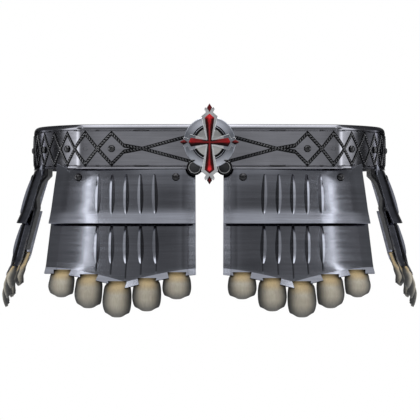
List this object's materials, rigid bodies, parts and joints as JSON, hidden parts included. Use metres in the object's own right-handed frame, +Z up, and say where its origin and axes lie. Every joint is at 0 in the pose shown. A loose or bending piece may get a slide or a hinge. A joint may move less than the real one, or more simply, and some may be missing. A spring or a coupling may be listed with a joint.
{
  "type": "fauld",
  "caption": "Armour skirt: a steel hip belt with a cross medallion, and ribbed steel tassets edged with moulded leather lappets.",
  "frame": {"origin": "middle of the waist at the belt's mid-height", "axes": "+Z up, the front faces -Y, +X to the wearer's left"},
  "size_m": [0.4362, 0.3205, 0.2129],
  "materials": {
    "belt_steel": "brushed, polished along the rim",
    "plate_steel": "brushed, with polished ribs and lips",
    "mount_silver": "pale satin silver",
    "disc_steel": "finely turned satin steel",
    "dark_steel": "blackened, polished on its domes",
    "red_enamel": "deep red glossy enamel",
    "pale_leather": "pale moulded leather, darker at the edges",
    "strap_leather": "plain dark leather"
  },
  "bodies": {
    "root": {"belt_left": "belt_steel", "belt_right": "belt_steel", "back_clasp": "belt_steel", "boss_disc": "disc_steel", "cross_mount": "mount_silver", "cross_enamel": "red_enamel", "diamond_top": "red_enamel", "diamond_bottom": "red_enamel", "diamond_left": "red_enamel", "diamond_right": "red_enamel", "scroll_left": "dark_steel", "scroll_right": "dark_steel", "upper_lame_front_left": "plate_steel", "lower_lame_front_left": "plate_steel", "rivet_front_left_fore": "dark_steel", "rivet_front_left_aft": "dark_steel", "hanger_front_left_fore": "strap_leather", "hanger_front_left_aft": "strap_leather", "lappet_front_left_1": "pale_leather", "lappet_front_left_2": "pale_leather", "lappet_front_left_3": "pale_leather", "lappet_front_left_4": "pale_leather", "lappet_front_left_5": "pale_leather", "upper_lame_front_right": "plate_steel", "lower_lame_front_right": "plate_steel", "rivet_front_right_fore": "dark_steel", "rivet_front_right_aft": "dark_steel", "hanger_front_right_fore": "strap_leather", "hanger_front_right_aft": "strap_leather", "lappet_front_right_1": "pale_leather", "lappet_front_right_2": "pale_leather", "lappet_front_right_3": "pale_leather", "lappet_front_right_4": "pale_leather", "lappet_front_right_5": "pale_leather", "upper_lame_side_left": "plate_steel", "lower_lame_side_left": "plate_steel", "rivet_side_left_fore": "dark_steel", "rivet_side_left_aft": "dark_steel", "hanger_side_left_fore": "strap_leather", "hanger_side_left_aft": "strap_leather", "lappet_side_left_1": "pale_leather", "lappet_side_left_2": "pale_leather", "lappet_side_left_3": "pale_leather", "lappet_side_left_4": "pale_leather", "lappet_side_left_5": "pale_leather", "upper_lame_side_right": "plate_steel", "lower_lame_side_right": "plate_steel", "rivet_side_right_fore": "dark_steel", "rivet_side_right_aft": "dark_steel", "hanger_side_right_fore": "strap_leather", "hanger_side_right_aft": "strap_leather", "lappet_side_right_1": "pale_leather", "lappet_side_right_2": "pale_leather", "lappet_side_right_3": "pale_leather", "lappet_side_right_4": "pale_leather", "lappet_side_right_5": "pale_leather"}
  },
  "joints": []
}
